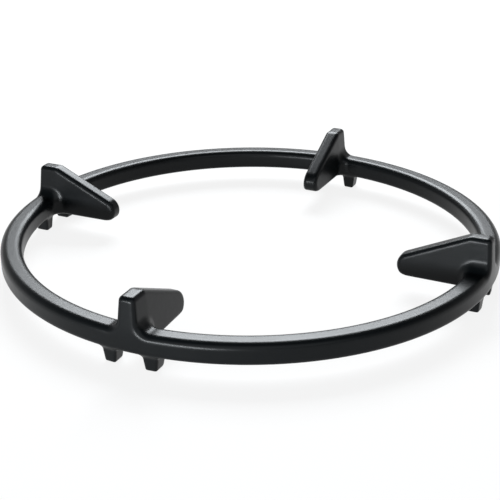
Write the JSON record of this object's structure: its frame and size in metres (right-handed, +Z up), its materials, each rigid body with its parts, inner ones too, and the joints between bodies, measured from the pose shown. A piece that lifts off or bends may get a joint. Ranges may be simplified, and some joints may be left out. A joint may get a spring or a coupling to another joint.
{
  "type": "wok ring",
  "caption": "Cast iron ring for a gas hob, with inward sloping fingers that hold a round-bottomed pan and lugs that straddle the hob's pan support.",
  "frame": {"origin": "on the ring's axis, in the plane of the lug feet", "axes": "+Z up along the ring's axis; the fingers point along +X, +Y, -X and -Y"},
  "size_m": [0.23, 0.23, 0.0307],
  "materials": {
    "enamelled_iron": "glossy black vitreous enamel, sprayed and fired over a smooth casting"
  },
  "bodies": {
    "root": {"wok_ring": "enamelled_iron"}
  },
  "joints": []
}
